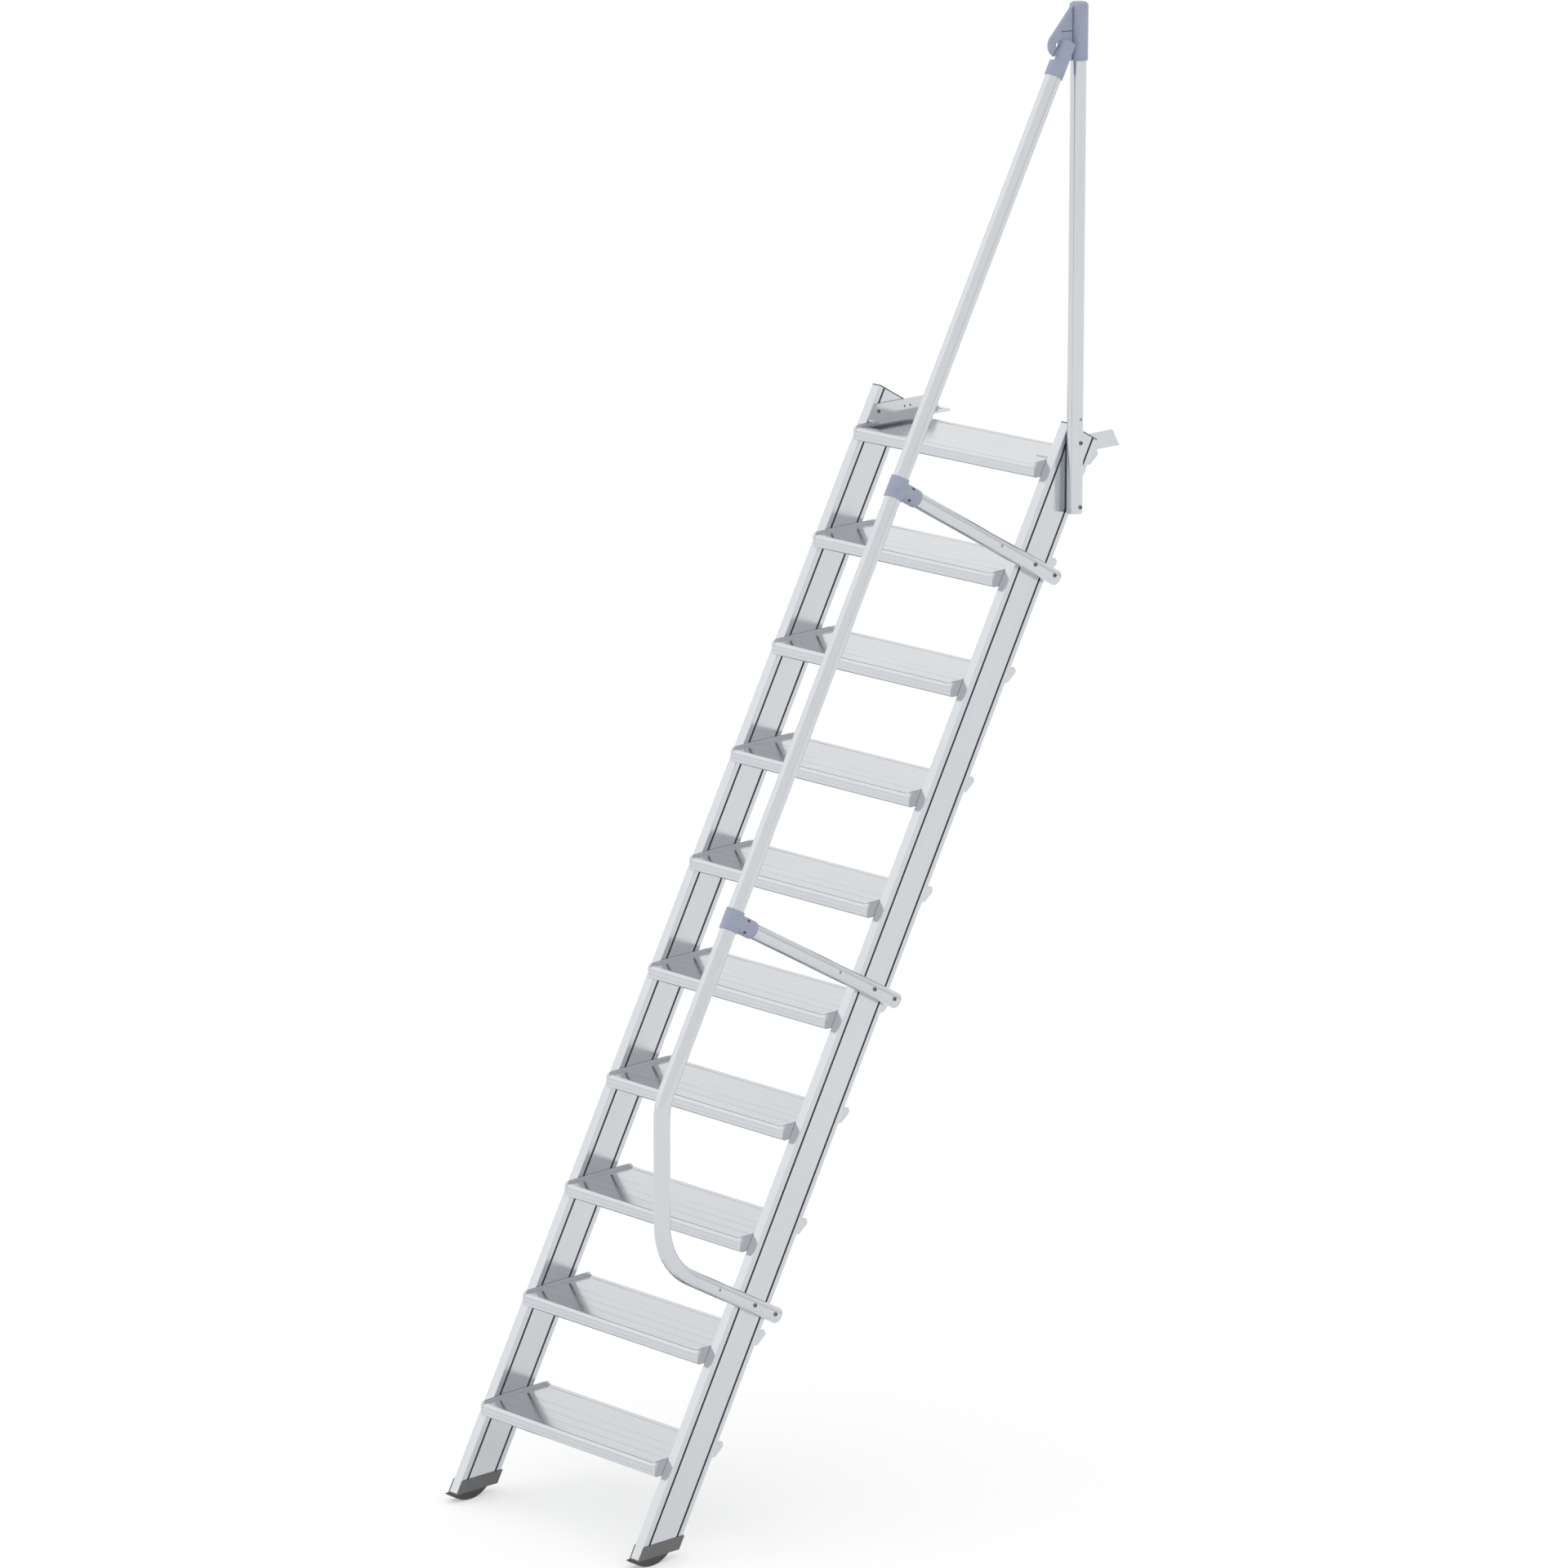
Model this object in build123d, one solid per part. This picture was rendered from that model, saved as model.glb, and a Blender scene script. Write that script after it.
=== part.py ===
from build123d import *
from math import atan2, cos, pi, sin, tan
import os

os.makedirs("parts", exist_ok=True)

# Aluminium stair with ten treads between two raking stiles and a handrail on the right.
# Sizes are in mm. The stair is drawn with X across it (right when facing up), Y towards the
# landing and Z up, from the point where the line of the stiles' front faces meets the height
# of the lowest tread. At the end every piece is moved so that the origin lies on the underside
# of the left landing bracket, the face that rests on the landing.

# the flight
TREAD_COUNT = 10
RISE = 240.0
GOING = 133.6
RAKE = atan2(RISE, GOING)
CLEAR_WIDTH = 604.0
HALF_WIDTH = CLEAR_WIDTH / 2

# stiles, hollow extrusions with two grooves along each broad face
STILE_DEPTH = 108.0
STILE_WIDTH = 27.0
STILE_WALL = 2.5
STILE_CORNER = 2.0
GROOVE_EDGE = 16.5
GROOVE_WIDTH = 6.0
GROOVE_DEPTH = 8.0
STILE_TOP = 2571.0
STILE_FOOT_Z = -208.0
FOOT_ALLOWANCE = 2.0
OUTER_FACE = HALF_WIDTH + STILE_WIDTH

# treads, ribbed extrusions that are open below, with a plate welded on each end;
# heights are measured from the tread's nominal height, depths from its nose
TREAD_DEPTH = 211.0
NOSE_REACH = 39.0
NOSE_FOOT = -34.0
NOSE_RADIUS = 7.0
TREAD_TOP = -2.0
TREAD_FOOT = -28.0
TREAD_WALL = 3.0
FRONT_LIP = 9.0
BACK_LIP = 14.0
BACK_LIP_HEIGHT = 8.0
LIP_RISE = 3.0
RIB_COUNT = 12
RIB_WIDTH = 3.0
RIB_HEIGHT = 1.8
NOSE_CHAMBER = 40.0
NOSE_SLOT = 14.0
NOSE_LINES = (-11.0, -21.0)
NOSE_LINE_WIDTH = 2.0
NOSE_LINE_DEPTH = 1.2
WEB_AT = 120.0
SKIRT_AT = 188.0
SKIRT_RETURN = 12.0

# end plates of the treads, which stand a little above the ribs
END_PLATE = 8.0
PLATE_TOP = 2.5
PLATE_SHOULDER = 38.0
PLATE_SLOPE = 6.0
PLATE_REAR = (214.0, -3.0)
PLATE_HEEL = 205.0

# shoes and pads at the feet
CHEEK = 2.0
CHEEK_TOP_Z = -180.5
CHEEK_PAST_BACK = 2.5
SHOE_FLOOR = 3.0
PAD_RADIUS = 80.0
PAD_CENTRE_Y = -76.0
GROUND_Z = -230.0

# caps on the stiles' top ends
CAP_THICKNESS = 3.0
CAP_PLUG = 18.0
CAP_PLAY = 2.0

# angle brackets that carry the stair on the landing
BRACKET_LEG = 40.0
BRACKET_THICKNESS = 5.0
BRACKET_Z = 2165.0
BRACKET_FRONT_LOW = 1211.0
BRACKET_FRONT_HIGH = 1238.0
BRACKET_BACK_LOW = 1447.0
BRACKET_BACK_HIGH = 1425.0
ANCHOR_Y = 1432.0
ANCHOR_RADIUS = 4.5
SEAT_Y = 1400.0

# round tubes of the handrail, its struts and its post
TUBE_RADIUS = 19.0
TUBE_WALL = 2.0
RAIL_X = OUTER_FACE + TUBE_RADIUS
RAIL_OFFSET = -470.0
RAIL_DROP_Y = -55.0
RAIL_BEND_UPPER = 120.0
RAIL_BEND_LOWER = 160.0
RAIL_FOOT_ALONG = 400.0
STRUT_ALONG = (1177.0, 2233.0)
TUBE_END_OFFSET = 116.0
POST_Y = 1252.0
POST_FOOT_Z = 2041.0
PLUG_LENGTH = 16.0
PLUG_BUTTON = 2.5

# tee clamps between the rail and the struts
CLAMP_RADIUS = 22.0
CLAMP_LENGTH = 50.0
SOCKET_RADIUS = 21.5
CLAMP_REACH = 68.0
STRUT_GAP = 2.0

# head of the post and the knuckle on the rail's upper end
HEAD_TOP_Z = 3234.0
HEAD_FOOT_Z = 3100.0
HEAD_DOME = 5.0
HEAD_CROWN = 8.0
WEB_THICKNESS = 8.0
WEB_FOOT_Z = 3114.0
WEB_CORNER_Y = 1159.4
WEB_CORNER_Z = 3158.2
LOBE_Y = 1181.0
LOBE_Z = 3142.0
LOBE_RADIUS = 27.0
LOBE_HOLE = 6.5
SOCKET_FOOT_ALONG = 3251.0
SOCKET_TOP_ALONG = 3338.0
RAIL_IN_SOCKET = 24.0
LAP_AFTER_RAIL = 10.0
LAP_CLEARANCE = 0.5

SEAT = (-HALF_WIDTH + BRACKET_LEG / 2, SEAT_Y, BRACKET_Z)


def rake_point(along, offset):
    """Height and depth of a point measured along the stile's front line and square to it."""
    y = along * cos(RAKE) + offset * sin(RAKE)
    z = along * sin(RAKE) - offset * cos(RAKE)
    return (y, z)


def front_line_y(z):
    """Depth of the stiles' front line at a height."""
    return z / tan(RAKE)


def back_line_y(z, past=0.0):
    """Depth of the stiles' back line at a height."""
    return z / tan(RAKE) + (STILE_DEPTH + past) / sin(RAKE)


def side_slab(points, x_low, x_high):
    """Plate whose side view is a polygon of (Y, Z) points."""
    outline = Polyline(*points, close=True)
    return extrude(Plane.YZ.offset(x_low) * make_face(outline), amount=x_high - x_low)


def raked_plane(x, along):
    """Plane square to the stiles: its x is X, its y runs from the front face to the back."""
    y, z = rake_point(along, 0)
    return Plane(origin=(x, y, z), x_dir=(1, 0, 0), z_dir=(0, cos(RAKE), sin(RAKE)))


def tube_plane(y, z, direction):
    """Plane across a tube in the handrail's plane, at a point and along a direction."""
    return Plane(origin=(RAIL_X, y, z), x_dir=(1, 0, 0), z_dir=(0, direction[0], direction[1]))


def rod(start, end, radius):
    """Solid round bar in the handrail's plane between two (Y, Z) points."""
    dy = end[0] - start[0]
    dz = end[1] - start[1]
    length = (dy ** 2 + dz ** 2) ** 0.5
    plane = tube_plane(start[0], start[1], (dy / length, dz / length))
    return extrude(plane * Circle(radius), amount=length)


def tube(start, end):
    """Straight handrail tube between two (Y, Z) points."""
    return rod(start, end, TUBE_RADIUS) - rod(start, end, TUBE_RADIUS - TUBE_WALL)


def stile_section():
    """Hollow section of a stile, with its grooves on both broad faces."""
    outer = RectangleRounded(STILE_WIDTH, STILE_DEPTH, STILE_CORNER)
    cavity = Rectangle(STILE_WIDTH - 2 * STILE_WALL, STILE_DEPTH - 2 * STILE_WALL)
    for side in (-1, 1):
        for edge in (GROOVE_EDGE, STILE_DEPTH - GROOVE_EDGE):
            place = Pos(side * STILE_WIDTH / 2, edge - STILE_DEPTH / 2)
            outer -= place * Rectangle(2 * GROOVE_DEPTH, GROOVE_WIDTH)
            wall = 2 * STILE_WALL
            cavity -= place * Rectangle(2 * GROOVE_DEPTH + wall, GROOVE_WIDTH + wall)
    return Pos(0, STILE_DEPTH / 2) * (outer - cavity)


def stile(side):
    """One stile, cut level at the foot and square at the top."""
    x = side * (HALF_WIDTH + STILE_WIDTH / 2)
    foot_along = STILE_FOOT_Z / sin(RAKE) - FOOT_ALLOWANCE
    body = extrude(raked_plane(x, foot_along) * stile_section(), amount=STILE_TOP - foot_along)
    below = Box(2 * STILE_DEPTH, 6 * STILE_DEPTH, STILE_DEPTH, align=(Align.CENTER, Align.CENTER, Align.MAX))
    return body - Pos(x, 0, STILE_FOOT_Z) * below


def stile_cap(side):
    """Cap over a stile's top end, with a plug inside the section."""
    x = side * (HALF_WIDTH + STILE_WIDTH / 2)
    lid = extrude(raked_plane(x, STILE_TOP) * Pos(0, STILE_DEPTH / 2)
                  * RectangleRounded(STILE_WIDTH, STILE_DEPTH, STILE_CORNER), amount=CAP_THICKNESS)
    plug_depth = STILE_DEPTH - 2 * (GROOVE_EDGE + GROOVE_WIDTH / 2 + STILE_WALL) - CAP_PLAY
    plug_width = STILE_WIDTH - 2 * STILE_WALL
    plug = extrude(raked_plane(x, STILE_TOP - CAP_PLUG) * Pos(0, STILE_DEPTH / 2)
                   * Rectangle(plug_width, plug_depth), amount=CAP_PLUG)
    return lid + plug


def shoe(side):
    """Saddle under a stile's foot: two cheeks on the broad faces and a floor below the end."""
    middle = side * (HALF_WIDTH + STILE_WIDTH / 2)
    floor_z = STILE_FOOT_Z - SHOE_FLOOR
    cheek = [(front_line_y(CHEEK_TOP_Z), CHEEK_TOP_Z), (back_line_y(CHEEK_TOP_Z, CHEEK_PAST_BACK), CHEEK_TOP_Z),
             (back_line_y(floor_z, CHEEK_PAST_BACK), floor_z), (front_line_y(floor_z), floor_z)]
    floor = [(front_line_y(STILE_FOOT_Z), STILE_FOOT_Z), (back_line_y(STILE_FOOT_Z, CHEEK_PAST_BACK), STILE_FOOT_Z),
             (back_line_y(floor_z, CHEEK_PAST_BACK), floor_z), (front_line_y(floor_z), floor_z)]
    half = STILE_WIDTH / 2
    body = side_slab(floor, middle - half - CHEEK, middle + half + CHEEK)
    body += side_slab(cheek, middle - half - CHEEK, middle - half)
    body += side_slab(cheek, middle + half, middle + half + CHEEK)
    return body


def pad(side):
    """Rubber rocker under a shoe: a segment of a round, flat on top."""
    middle = side * (HALF_WIDTH + STILE_WIDTH / 2)
    width = STILE_WIDTH + 2 * CHEEK
    top_z = STILE_FOOT_Z - SHOE_FLOOR
    round_face = Plane.YZ.offset(middle - width / 2) * Pos(PAD_CENTRE_Y, GROUND_Z + PAD_RADIUS) * Circle(PAD_RADIUS)
    body = extrude(round_face, amount=width)
    above = Box(2 * width, 3 * PAD_RADIUS, 3 * PAD_RADIUS, align=(Align.CENTER, Align.CENTER, Align.MIN))
    return body - Pos(middle, PAD_CENTRE_Y, top_z) * above


def rounded_nose(points):
    """Side view through (Y, Z) points whose corners at the nose are rounded."""
    face = make_face(Polyline(*points, close=True))
    return fillet([corner for corner in face.vertices() if abs(corner.X) < 0.01], NOSE_RADIUS)


def tread_section():
    """Side view of a tread, ribbed on top, with a nose box, a web and a skirt below."""
    lip_foot = TREAD_TOP - BACK_LIP_HEIGHT
    section = rounded_nose([(0, TREAD_TOP), (TREAD_DEPTH, TREAD_TOP), (TREAD_DEPTH, lip_foot),
                            (SKIRT_AT, lip_foot), (SKIRT_AT, TREAD_FOOT), (NOSE_CHAMBER, TREAD_FOOT),
                            (NOSE_CHAMBER, NOSE_FOOT), (0, NOSE_FOOT)])
    field = TREAD_TOP - LIP_RISE
    underside = field - TREAD_WALL

    def cut(y_low, y_high, z_low, z_high):
        return Pos((y_low + y_high) / 2, (z_low + z_high) / 2) * Rectangle(y_high - y_low, z_high - z_low)

    section -= cut(FRONT_LIP, TREAD_DEPTH - BACK_LIP, field, TREAD_TOP + 1)
    section -= cut(TREAD_WALL, NOSE_CHAMBER - TREAD_WALL, NOSE_FOOT + TREAD_WALL, underside)
    slot_low = (NOSE_CHAMBER - NOSE_SLOT) / 2
    section -= cut(slot_low, slot_low + NOSE_SLOT, NOSE_FOOT - 1, NOSE_FOOT + TREAD_WALL)
    section -= cut(NOSE_CHAMBER, WEB_AT, TREAD_FOOT - 1, underside)
    skirt = SKIRT_AT - TREAD_WALL
    section -= cut(WEB_AT + TREAD_WALL, skirt, TREAD_FOOT + TREAD_WALL, underside)
    section -= cut(WEB_AT + TREAD_WALL, skirt - SKIRT_RETURN, TREAD_FOOT - 1, TREAD_FOOT + TREAD_WALL)
    for z in NOSE_LINES:
        section -= Pos(0, z) * Rectangle(2 * NOSE_LINE_DEPTH, NOSE_LINE_WIDTH)
    pitch = (TREAD_DEPTH - FRONT_LIP - BACK_LIP) / (RIB_COUNT + 1)
    for number in range(1, RIB_COUNT + 1):
        y = FRONT_LIP + number * pitch
        section += cut(y - RIB_WIDTH / 2, y + RIB_WIDTH / 2, field - 1, field + RIB_HEIGHT)
    return section


def tread_end():
    """Outline of the plate on a tread's end, highest along its middle and slanting in at the back."""
    lip_foot = TREAD_TOP - BACK_LIP_HEIGHT
    return rounded_nose([(0, 0), (PLATE_SHOULDER, PLATE_TOP), (PLATE_HEEL, PLATE_TOP), PLATE_REAR,
                         (TREAD_DEPTH, lip_foot), (SKIRT_AT, TREAD_FOOT),
                         (NOSE_CHAMBER + PLATE_SLOPE, TREAD_FOOT), (NOSE_CHAMBER, NOSE_FOOT), (0, NOSE_FOOT)])


def tread(number):
    """One tread, spanning from stile to stile."""
    place = Pos(0, number * GOING - NOSE_REACH, number * RISE)
    left = -HALF_WIDTH
    right = HALF_WIDTH - END_PLATE
    body = extrude(Plane.YZ.offset(left + END_PLATE) * tread_section(), amount=CLEAR_WIDTH - 2 * END_PLATE)
    body += extrude(Plane.YZ.offset(left) * tread_end(), amount=END_PLATE)
    body += extrude(Plane.YZ.offset(right) * tread_end(), amount=END_PLATE)
    return place * body


def landing_bracket(side):
    """Angle screwed to a stile's inner face, with its level leg resting on the landing."""
    top_z = BRACKET_Z + BRACKET_LEG
    upright = [(BRACKET_FRONT_LOW, BRACKET_Z), (BRACKET_BACK_LOW, BRACKET_Z),
               (BRACKET_BACK_HIGH, top_z), (BRACKET_FRONT_HIGH, top_z)]
    level = [(BRACKET_FRONT_LOW, BRACKET_Z), (BRACKET_BACK_LOW, BRACKET_Z),
             (BRACKET_BACK_LOW, BRACKET_Z + BRACKET_THICKNESS), (BRACKET_FRONT_LOW, BRACKET_Z + BRACKET_THICKNESS)]
    face = side * HALF_WIDTH
    reach = face - side * BRACKET_LEG
    back = face - side * BRACKET_THICKNESS
    body = side_slab(upright, min(face, back), max(face, back)) + side_slab(level, min(face, reach), max(face, reach))
    anchor_x = face - side * (BRACKET_LEG + BRACKET_THICKNESS) / 2
    return body - Pos(anchor_x, ANCHOR_Y, BRACKET_Z) * Cylinder(ANCHOR_RADIUS, 4 * BRACKET_THICKNESS)


def bend(before, corner, after, radius):
    """Start, middle and end of the arc that rounds a corner of the rail's centre line."""
    def toward(point):
        dy = point[0] - corner[0]
        dz = point[1] - corner[1]
        length = (dy ** 2 + dz ** 2) ** 0.5
        return (dy / length, dz / length)

    u = toward(before)
    v = toward(after)
    turn = pi - atan2(abs(u[0] * v[1] - u[1] * v[0]), u[0] * v[0] + u[1] * v[1])
    setback = radius * tan(turn / 2)
    start = (corner[0] + u[0] * setback, corner[1] + u[1] * setback)
    end = (corner[0] + v[0] * setback, corner[1] + v[1] * setback)
    half = ((u[0] + v[0]) ** 2 + (u[1] + v[1]) ** 2) ** 0.5
    inward = ((u[0] + v[0]) / half, (u[1] + v[1]) / half)
    depth = radius / cos(turn / 2) - radius
    middle = (corner[0] + inward[0] * depth, corner[1] + inward[1] * depth)
    return start, middle, end


def handrail():
    """Bent tube: parallel to the stile, then straight down, then back to the stile."""
    top = rake_point(SOCKET_FOOT_ALONG + RAIL_IN_SOCKET, RAIL_OFFSET)
    drop_along = (RAIL_DROP_Y - RAIL_OFFSET * sin(RAKE)) / cos(RAKE)
    knee = rake_point(drop_along, RAIL_OFFSET)
    foot_offset = (RAIL_DROP_Y - RAIL_FOOT_ALONG * cos(RAKE)) / sin(RAKE)
    heel = rake_point(RAIL_FOOT_ALONG, foot_offset)
    end = rake_point(RAIL_FOOT_ALONG, TUBE_END_OFFSET)
    upper = bend(top, knee, heel, RAIL_BEND_UPPER)
    lower = bend(knee, heel, end, RAIL_BEND_LOWER)
    line = Polyline(top, upper[0]) + ThreePointArc(*upper) + Polyline(upper[2], lower[0])
    line += ThreePointArc(*lower) + Polyline(lower[2], end)
    path = Plane.YZ.offset(RAIL_X) * line
    start_plane = tube_plane(top[0], top[1], (-cos(RAKE), -sin(RAKE)))
    ring = start_plane * (Circle(TUBE_RADIUS) - Circle(TUBE_RADIUS - TUBE_WALL))
    return sweep(ring, path=path)


def rail_post():
    """Upright tube on the right stile's outer face."""
    return tube((POST_Y, POST_FOOT_Z), (POST_Y, HEAD_TOP_Z - HEAD_CROWN))


def strut(along):
    """Tube from the stile to the rail, square to both."""
    start = rake_point(along, RAIL_OFFSET + TUBE_RADIUS + STRUT_GAP)
    return tube(start, rake_point(along, TUBE_END_OFFSET))


def clamp(along):
    """Tee around the rail with a socket for a strut."""
    half = CLAMP_LENGTH / 2
    low = rake_point(along - half, RAIL_OFFSET)
    high = rake_point(along + half, RAIL_OFFSET)
    mouth = rake_point(along, RAIL_OFFSET + CLAMP_REACH)
    body = rod(low, high, CLAMP_RADIUS) + rod(rake_point(along, RAIL_OFFSET), mouth, SOCKET_RADIUS)
    body -= rod(rake_point(along - CLAMP_LENGTH, RAIL_OFFSET), rake_point(along + CLAMP_LENGTH, RAIL_OFFSET), TUBE_RADIUS)
    seat = rake_point(along, RAIL_OFFSET + TUBE_RADIUS + STRUT_GAP)
    beyond = rake_point(along, RAIL_OFFSET + 2 * CLAMP_REACH)
    return body - rod(seat, beyond, TUBE_RADIUS)


def tube_plug(point, outward):
    """Plug in a tube's open end, with a low button outside."""
    back = (point[0] - outward[0] * PLUG_LENGTH, point[1] - outward[1] * PLUG_LENGTH)
    rim = (point[0] + outward[0] * PLUG_BUTTON, point[1] + outward[1] * PLUG_BUTTON)
    return rod(point, rim, TUBE_RADIUS) + rod(back, point, TUBE_RADIUS - TUBE_WALL)


def post_head():
    """Closed sleeve on the post's top with a web that ends in a round lobe."""
    sleeve = rod((POST_Y, HEAD_FOOT_Z), (POST_Y, HEAD_TOP_Z), CLAMP_RADIUS)
    crown = sleeve.edges().filter_by(GeomType.CIRCLE).sort_by(Axis.Z)[-1]
    sleeve = chamfer(crown, HEAD_DOME)
    web = side_slab([(POST_Y, HEAD_TOP_Z - HEAD_DOME), (POST_Y - CLAMP_RADIUS, HEAD_TOP_Z - HEAD_DOME),
                     (WEB_CORNER_Y, WEB_CORNER_Z), (LOBE_Y, LOBE_Z - LOBE_RADIUS),
                     (POST_Y, WEB_FOOT_Z)], RAIL_X - WEB_THICKNESS / 2, RAIL_X + WEB_THICKNESS / 2)
    disc_plane = Plane.YZ.offset(RAIL_X - WEB_THICKNESS / 2) * Pos(LOBE_Y, LOBE_Z)
    web += extrude(disc_plane * Circle(LOBE_RADIUS), amount=WEB_THICKNESS)
    web -= extrude(disc_plane * Circle(LOBE_HOLE), amount=WEB_THICKNESS)
    return sleeve + web - rod((POST_Y, HEAD_FOOT_Z - 1), (POST_Y, HEAD_TOP_Z - HEAD_CROWN), TUBE_RADIUS)


def rail_knuckle():
    """Socket on the rail's upper end; its tongue laps the outer side of the post head's web."""
    foot = rake_point(SOCKET_FOOT_ALONG, RAIL_OFFSET)
    body = rod(foot, rake_point(SOCKET_TOP_ALONG, RAIL_OFFSET), CLAMP_RADIUS)
    body -= rod(foot, rake_point(SOCKET_FOOT_ALONG + RAIL_IN_SOCKET, RAIL_OFFSET), TUBE_RADIUS)
    lap_y, lap_z = rake_point(SOCKET_FOOT_ALONG + RAIL_IN_SOCKET + LAP_AFTER_RAIL, RAIL_OFFSET)
    lap = Plane(origin=(RAIL_X + WEB_THICKNESS / 2, lap_y, lap_z), x_dir=(1, 0, 0), z_dir=(0, cos(RAKE), sin(RAKE)))
    inner_half = Pos(-2 * CLAMP_RADIUS, 0) * Rectangle(4 * CLAMP_RADIUS, 4 * CLAMP_RADIUS)
    body -= extrude(lap * inner_half, amount=SOCKET_TOP_ALONG - SOCKET_FOOT_ALONG)
    clear = CLAMP_RADIUS + LAP_CLEARANCE
    return body - rod((POST_Y, HEAD_FOOT_Z - clear), (POST_Y, HEAD_TOP_Z + clear), clear)


def write(name, piece):
    """Moves a finished piece to the seat's origin and writes it under its node name."""
    solids = piece.solids()
    moved = Pos(-SEAT[0], -SEAT[1], -SEAT[2]) * (solids[0] if len(solids) == 1 else Compound(children=solids))
    export_step(moved, f"parts/{name}.step")


SIDES = (("left", -1), ("right", 1))
for word, side in SIDES:
    write(f"stile_{word}", stile(side))
    write(f"stile_cap_{word}", stile_cap(side))
    write(f"shoe_{word}", shoe(side))
    write(f"pad_{word}", pad(side))
    write(f"landing_bracket_{word}", landing_bracket(side))

for number in range(TREAD_COUNT):
    write(f"tread_{number + 1:02d}", tread(number))

write("handrail", handrail())
write("rail_post", rail_post())
write("post_head", post_head())
write("rail_knuckle", rail_knuckle())
square_out = (sin(RAKE), -cos(RAKE))
for word, along in zip(("lower", "upper"), STRUT_ALONG):
    write(f"strut_{word}", strut(along))
    write(f"rail_clamp_{word}", clamp(along))
    write(f"strut_plug_{word}", tube_plug(rake_point(along, TUBE_END_OFFSET), square_out))
write("rail_plug", tube_plug(rake_point(RAIL_FOOT_ALONG, TUBE_END_OFFSET), square_out))
write("post_plug", tube_plug((POST_Y, POST_FOOT_Z), (0, -1)))
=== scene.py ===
from math import atan2, cos, pi, radians, sin

import bmesh
import bpy
from mathutils import Matrix, Vector


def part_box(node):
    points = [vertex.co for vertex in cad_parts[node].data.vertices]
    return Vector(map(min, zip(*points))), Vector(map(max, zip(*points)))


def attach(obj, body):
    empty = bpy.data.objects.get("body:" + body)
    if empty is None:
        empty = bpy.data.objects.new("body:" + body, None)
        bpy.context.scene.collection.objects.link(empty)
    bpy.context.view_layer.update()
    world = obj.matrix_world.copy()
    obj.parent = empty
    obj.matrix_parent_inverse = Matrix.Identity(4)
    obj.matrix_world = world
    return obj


bl_info = {
    "name": "Aluminium stair with handrail",
    "version": (1, 0, 0),
    "blender": (4, 5, 0),
    "location": "View3D > Sidebar > Stair",
    "description": "Finishes, fasteners and a plain studio for an aluminium stair with a handrail",
    "category": "Object",
}

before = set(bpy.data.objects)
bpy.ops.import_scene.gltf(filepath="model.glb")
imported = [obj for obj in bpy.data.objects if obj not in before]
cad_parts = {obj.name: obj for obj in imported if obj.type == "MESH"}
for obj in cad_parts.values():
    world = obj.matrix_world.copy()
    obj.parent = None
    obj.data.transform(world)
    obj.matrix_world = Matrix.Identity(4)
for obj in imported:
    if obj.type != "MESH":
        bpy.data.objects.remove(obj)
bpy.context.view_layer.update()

# Millimetres to metres.
MM = 0.001
# The stair's own zero, seen from the origin on the left landing bracket.
STAIR_ZERO = Vector((282.0, -1400.0, -2165.0)) * MM
# Slope of the stiles: one rise over one going. These values are in millimetres where no comment says
# otherwise.
RISE = 240.0
GOING = 133.6
RAKE = atan2(RISE, GOING)
UP_RAKE = Vector((0.0, cos(RAKE), sin(RAKE)))
SQUARE_TO_RAKE = Vector((0.0, sin(RAKE), -cos(RAKE)))
# Distances from the middle of the stair: both faces of a stile, the tubes' axis and their outer side.
INNER_FACE = 302.0
OUTER_FACE = 329.0
TUBE_AXIS = 348.0
TUBE_FACE = 367.0
# Places of the two struts along the stiles' front line.
STRUTS = (1177.0, 2233.0)
# Strut socket of a rail clamp, and its screws: how far they stand to both sides of the strut's axis, and
# their place square to the stile.
SOCKET_RADIUS = 21.5
CLAMP_SCREW_SHIFT = 13.6
CLAMP_SCREW_AT = -435.0
BRACKET_THICKNESS = 5.0
# Grooves of the stiles: their middles behind the front line, half their width, and how far the shade painted
# into them keeps inside a stile's broad faces.
GROOVES = (16.5, 91.5)
GROOVE_HALF = 3.2
GROOVE_MARGIN = 0.3
# Bolts and rivets of the tubes: depth and heights on the upright post, and on the raked stile lengths
# along its front line and square to it.
POST_DEPTH = 1252.0
POST_BOLTS = (2206.0, 2054.0)
POST_RIVET = 2262.0
RAIL_FOOT = 400.0
STILE_BOLTS = (23.0, 96.0)
TUBE_RIVET = -102.0
# Screws and rivets of the landing brackets, as depths and heights.
BRACKET_SCREWS = (1242.0, 1409.0)
BRACKET_SCREW_HEIGHT = 2187.0
BRACKET_RIVETS = (1328.0, 1347.0)
BRACKET_RIVET_HEIGHT = 2188.0
# How far the feet of the fasteners stand in the metal.
BOLT_SINK = 1.0
RIVET_SINK = 0.2
CLAMP_SCREW_SINK = 0.4
# Rim of a tread's end plate: depth from the stiles' front line and height over the tread.
FLANGE_THICKNESS = 3.0
FLANGE_INSET = 0.5
FLANGE_ROUND = 0.6
FLANGE_OUTLINE = ((-37.0, -8.0), (-37.6, -3.0), (-35.0, 0.5), (-25.0, 3.0), (3.0, 4.0), (163.0, 6.0),
                  (170.0, 5.0), (173.5, 1.0), (172.0, -8.0))
# Fine top of a tread between its lips: its edges, its level over a hidden foot, and shallow grooves at
# these depths.
DECK_FRONT = -29.8
DECK_BACK = 157.8
DECK_SIDE = 293.8
DECK_LEVEL = -2.5
DECK_FOOT = -3.2
DECK_GROOVES = (6.0, 43.0, 80.0, 117.0, 146.0)
DECK_GROOVE_WIDTH = 2.4
DECK_GROOVE_DEPTH = 0.12
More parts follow.
